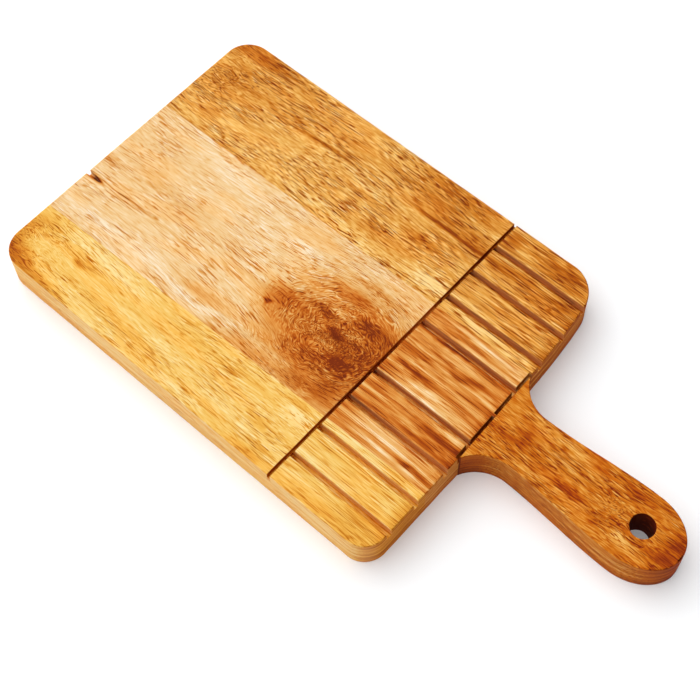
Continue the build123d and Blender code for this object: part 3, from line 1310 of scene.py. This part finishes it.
def centre_stave_wood(colours, grooves):
    """The pale middle stave, which darkens towards its knot."""
    patches = (
        (60, -45, 95, 13, 16),
        (72, 17, 65, 12, 10),
        (38, 28, 24, 5, 26),
        (45, -11, 60, 12, -8),
        (3, -14, 10, 5, -24),
        (31, -13, 6, 1.6, -46),
        (92, -41, 26, 5, -34),
        (114, 11, 16, 5, 30),
        (122, -22, 4, 1.8, -90),
        (115, -53, 18, 2, -50),
        (130, -50, 30, 7, -40),
        (170, -20, 66, 46, -106),
        (128, -15, 17, 12, -50),
        (148, -36, 28, 10, -24),
        (155, 5, 26, 6, -44),
        (162, 16, 34, 4, -34),
        (146, -9, 13, 4, -66),
        (159, -15, 9, 3.5, -80),
        (168, -4, 10, 6, -62),
        (179, -3, 9, 6, -50),
        (172, -27, 12, 7, -54),
        (178, -17, 6, 9, -26),
        (168, -46, 26, 6, -56),
        (176, -40, 10, 7, -36),
        (154, -5, 9, 2, 40),
        (168, -12, 7, 2, 40),
        (160, -24, 12, 4, 20),
        (189, -22, 12, 42, -14),
        (205, 19, 40, 16, 8),
        (222, 6, 34, 3.6, -76),
        (212, 2, 26, 5, 26),
        (216, 12, 20, 5, 22),
        (214, -28, 26, 4, 30),
        (108, -18, 18, 5, -20),
        (134, -28, 10, 6, -20),
        (174, -8, 10, 5, -20),
        (198, -6, 18, 3, -56),
        (217, -9, 16, 3, 28),
        (192, 23, 10, 4, 24),
        (215, -38, 30, 5, 24),
        (240, -47, 8, 4, -34),
        (228, -30, 26, 2, -50),
        (205, 14, 26, 1.6, -50),
        (128, -22, 20, 13, -28),
        (172, 0, 14, 8, -28),
        (174, -54, 14, 6, -26),
        (208, -15, 34, 9, 64),
        (196, -24, 14, 5, -30),
        (226, -24, 24, 5, -30),
        (205, -42, 26, 6, 48),
        (232, -45, 18, 3, -60),
        (245, -10, 7, 50, -46),
    )
    return wood(
        "pale_stave_wood", colours, PALE, 210, patches, (26, 10, 9, 16, 25), 56,
        knot=(161, -17, 36, 26), knot_amounts=(140, 76, 46, 36, 30), sawn=(-46, 185, 0.5),
        grooves=grooves, edge=-10,
        cracks=(
            (4, -28.3, 11, 2.6, -160),
            (7, -27.6, 6, 1.4, -110),
            (26, -26, 30, 0.8, -60),
            (70, -26.3, 40, 0.7, -34),
            (47, -25.3, 3, 0.9, -70),
            (88, -27, 5, 1.0, -60),
            (110, -23, 22, 0.6, -30),
        ),
    )


def right_stave_wood(colours, grooves):
    """The amber stave along the far side."""
    patches = (
        (24, 86, 36, 7, -80),
        (4, 82, 8, 8, -30),
        (16, 70, 20, 11, -34),
        (12, 55, 18, 12, -14),
        (22, 42, 14, 9, -26),
        (85, 35, 110, 4, 22),
        (78, 49, 40, 7, 18),
        (56, 86, 20, 3, -34),
        (82, 62.5, 34, 1.6, -76),
        (60, 66, 12, 1.3, -50),
        (100, 66, 26, 2.5, -22),
        (114, 56, 20, 4, 36),
        (115, 88, 14, 4, 40),
        (150, 75, 60, 5, -34),
        (156, 84, 42, 9, -44),
        (160, 65.5, 42, 2.2, -80),
        (165, 69, 40, 7, -36),
        (184, 66, 24, 6, -30),
        (166, 60, 22, 4, -30),
        (156, 51, 20, 5, -56),
        (132, 43, 14, 7, -30),
        (175, 36, 22, 8, 40),
        (200, 37, 30, 5, 24),
        (196, 52, 14, 4, 30),
        (203, 88, 20, 4, -20),
        (222, 82, 30, 8, -66),
        (208, 67, 40, 4, -46),
        (232, 66, 16, 7, -48),
        (226, 60, 24, 4, -40),
        (244, 55, 9, 40, -54),
        (210, 25, 24, 3, -30),
        (178, 62, 12, 12, -10),
        (178, 72, 14, 5, -26),
        (172, 39, 18, 8, 24),
        (243, 66, 7, 18, -22),
        (190, 83, 10, 8, -54),
        (197, 72, 14, 5, 30),
        (207, 52, 24, 4, 22),
        (215, 32, 44, 4, 34),
        (45, 32, 60, 4, 18),
        (54, 82, 12, 5, -20),
    )
    return wood(
        "amber_stave_wood", colours, AMBER, 180, patches, (66, 26, 20, 36, 48), 106,
        curly=(10, 62, 26, 34), sawn=(-7, 44, 0.2), grooves=grooves, edge=-10,
    )


def handle_wood(colours):
    """The orange wood of the handle."""
    patches = (
        (262, 3, 6, 8, -40),
        (265, 12, 14, 4, 22),
        (283, 12, 16, 4, 50),
        (284, 3, 18, 4, 34),
        (300, 12, 10, 3, -30),
        (262, -3, 26, 3, -30),
        (270, -8, 26, 3, 4),
        (292, -7, 14, 3, -56),
        (341, -10, 10, 8, -32),
        (262, -18, 12, 5, -28),
        (344, -16, 8, 6, -24),
        (300, -17, 30, 3, 18),
        (251, 3, 8, 4, 24),
        (312, -12, 12, 4, -30),
        (322, -12, 12, 5, 50),
        (318, 14, 12, 4, -34),
        (346, 2, 13, 18, -50),
        (336, 13, 12, 3, 26),
        (334, -4, 12, 4, 12),
    )
    return wood(
        "handle_orange_wood", colours, ORANGE, 136, patches, (76, 34, 32, 44, 36), 84,
        curly=(320, 0, 30, 20), edge=10, wear=16, bore=True, ash_and_sheen=colours.handle_side,
    )


def dowel_wood(colours):
    """Bare pale dowel wood."""
    return wood("dowel_bare_wood", colours, PALE, 205)


def floor_material(colours):
    """A matt white studio floor that glows a little."""
    material = bpy.data.materials.new("studio_floor")
    material.use_nodes = True
    shader = material.node_tree.nodes["Principled BSDF"]
    shader.inputs["Base Color"].default_value = (*colours.floor, 1.0)
    shader.inputs["Emission Color"].default_value = (1.0, 1.0, 1.0, 1.0)
    shader.inputs["Emission Strength"].default_value = FLOOR_GLOW
    shader.inputs["Roughness"].default_value = 0.9
    return material


def studio_air():
    """A wide soft glow from behind the far end, dim on the handle's side."""
    world = bpy.data.worlds.new("studio_air")
    world.use_nodes = True
    tree = world.node_tree
    heading = make(tree, "ShaderNodeTexCoord", output="Generated")
    facing = make(
        tree, "ShaderNodeVectorMath", {"operation": "DOT_PRODUCT"}, "Value", i0=heading, i1=GLOW_FROM
    )
    glow = remap(facing, 0.0, 1.0, GLOW_LEAST, GLOW_MOST)
    air = tree.nodes["Background"]
    air.inputs["Color"].default_value = (1, 1, 1, 1)
    tree.links.new(glow.socket, air.inputs["Strength"])
    return world


def area_light(name, place, aim, side, power):
    """A square soft light that looks at a point."""
    deselect_all()
    bpy.ops.object.light_add(type="AREA", location=place)
    lamp = bpy.context.object
    lamp.name = name
    lamp.data.size = side
    lamp.data.energy = power
    lamp.rotation_euler = (Vector(aim) - Vector(place)).to_track_quat("-Z", "Y").to_euler()
    return lamp


class BOARD_OT_stage(bpy.types.Operator):
    """Lays the floor, hangs the lights and sets up the camera"""

    bl_idname = "board.stage"
    bl_label = "Stage"

    def execute(self, context):
        scene = context.scene
        deselect_all()
        bpy.ops.mesh.primitive_plane_add(size=FLOOR_SIDE, location=(0, 0, 0))
        floor = bpy.context.object
        floor.name = "studio_floor"
        floor.data.materials.append(floor_material(context.scene.board_colours))

        scene.world = studio_air()
        area_light("window_light", WINDOW_PLACE, (0, 0, 0), WINDOW_SIDE, WINDOW_POWER)

        bpy.ops.object.camera_add(
            location=CAMERA_PLACE, rotation=[math.radians(angle) for angle in CAMERA_TURN]
        )
        camera = bpy.context.object
        camera.name = "photo_camera"
        camera.data.sensor_width = SENSOR
        camera.data.lens = SENSOR * CAMERA_REACH / PHOTO_SIDE
        camera.data.clip_start = 0.01
        scene.camera = camera
        scene.view_settings.view_transform = "Standard"
        return {"FINISHED"}


class BOARD_PT_panel(bpy.types.Panel):
    """Lists the steps that dress the board"""

    bl_label = "Serving board"
    bl_idname = "BOARD_PT_panel"
    bl_space_type = "VIEW_3D"
    bl_region_type = "UI"
    bl_category = "Board"

    def draw(self, context):
        for operator in OPERATORS:
            self.layout.operator(operator.bl_idname)
        for name in BoardSizes.__annotations__:
            self.layout.prop(context.scene.board_sizes, name)
        for name in BoardColours.__annotations__:
            self.layout.prop(context.scene.board_colours, name)


OPERATORS = (BOARD_OT_staves, BOARD_OT_handle, BOARD_OT_dowels, BOARD_OT_stage)
CLASSES = (BoardSizes, BoardColours, *OPERATORS, BOARD_PT_panel)


def register():
    """Adds the board's sizes, colours, steps and panel to Blender."""
    for item in CLASSES:
        bpy.utils.register_class(item)
    bpy.types.Scene.board_sizes = bpy.props.PointerProperty(type=BoardSizes)
    bpy.types.Scene.board_colours = bpy.props.PointerProperty(type=BoardColours)


def unregister():
    """Takes them out again."""
    del bpy.types.Scene.board_colours
    del bpy.types.Scene.board_sizes
    for item in reversed(CLASSES):
        bpy.utils.unregister_class(item)


def main():
    """Dresses the board step by step."""
    register()
    bpy.ops.board.staves()
    bpy.ops.board.handle()
    bpy.ops.board.dowels()
    bpy.ops.board.stage()


if __name__ == "__main__":
    main()
